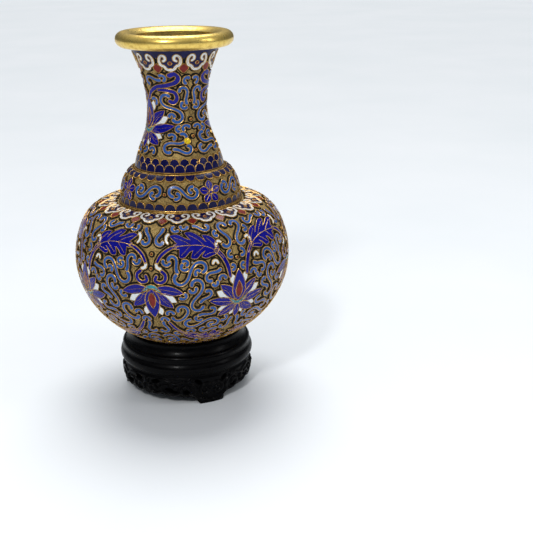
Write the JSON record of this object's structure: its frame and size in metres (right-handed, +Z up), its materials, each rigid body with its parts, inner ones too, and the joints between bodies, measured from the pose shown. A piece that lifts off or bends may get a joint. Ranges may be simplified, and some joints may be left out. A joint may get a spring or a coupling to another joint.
{
  "type": "vase",
  "caption": "Bulbous vase with a waisted neck, thick rolled rim and raised enamel scrollwork, resting on a round carved wooden stand with scroll feet.",
  "frame": {"origin": "on the floor at the centre of the stand", "axes": "+Z up along the vase's axis, -Y towards the front"},
  "size_m": [0.1018, 0.1018, 0.171],
  "materials": {
    "base_enamel": "enamel",
    "black_wood": "black lacquer, glossy",
    "cobalt_enamel": "polished enamel",
    "gilt": "gilded, polished",
    "gilt_ground": "gilded copper, matt, darkened in the hollows",
    "label_paper": "matt",
    "lining_enamel": "enamel",
    "navy_enamel": "polished enamel"
  },
  "bodies": {
    "stand": {"stand_base": "black_wood", "stand_top": "black_wood"},
    "vase": {"base_enamel": "base_enamel", "base_label": "label_paper", "base_plate": "gilt_ground", "belly_lower_lining": "lining_enamel", "belly_lower_relief": "cobalt_enamel", "belly_lower_shell": "gilt_ground", "belly_upper_lining": "lining_enamel", "belly_upper_relief": "cobalt_enamel", "belly_upper_shell": "gilt_ground", "collar_lining": "lining_enamel", "collar_lower_scale_band": "navy_enamel", "collar_scroll_relief": "cobalt_enamel", "collar_shell": "gilt_ground", "collar_upper_scale_band": "navy_enamel", "foot_ring": "gilt", "foot_scale_band": "navy_enamel", "mouth_rim": "gilt", "neck_cloud_band": "navy_enamel", "neck_lining": "lining_enamel", "neck_scale_band": "navy_enamel", "neck_scroll_relief": "cobalt_enamel", "neck_shell": "gilt_ground", "neck_wire_ring": "gilt", "shoulder_cloud_band": "navy_enamel", "shoulder_wire_ring": "gilt"}
  },
  "joints": [
    {"name": "vase_lift", "type": "slide", "parent": "stand", "child": "vase", "axis": [0, 0, 1], "range_m": [0, 0.03]}
  ]
}
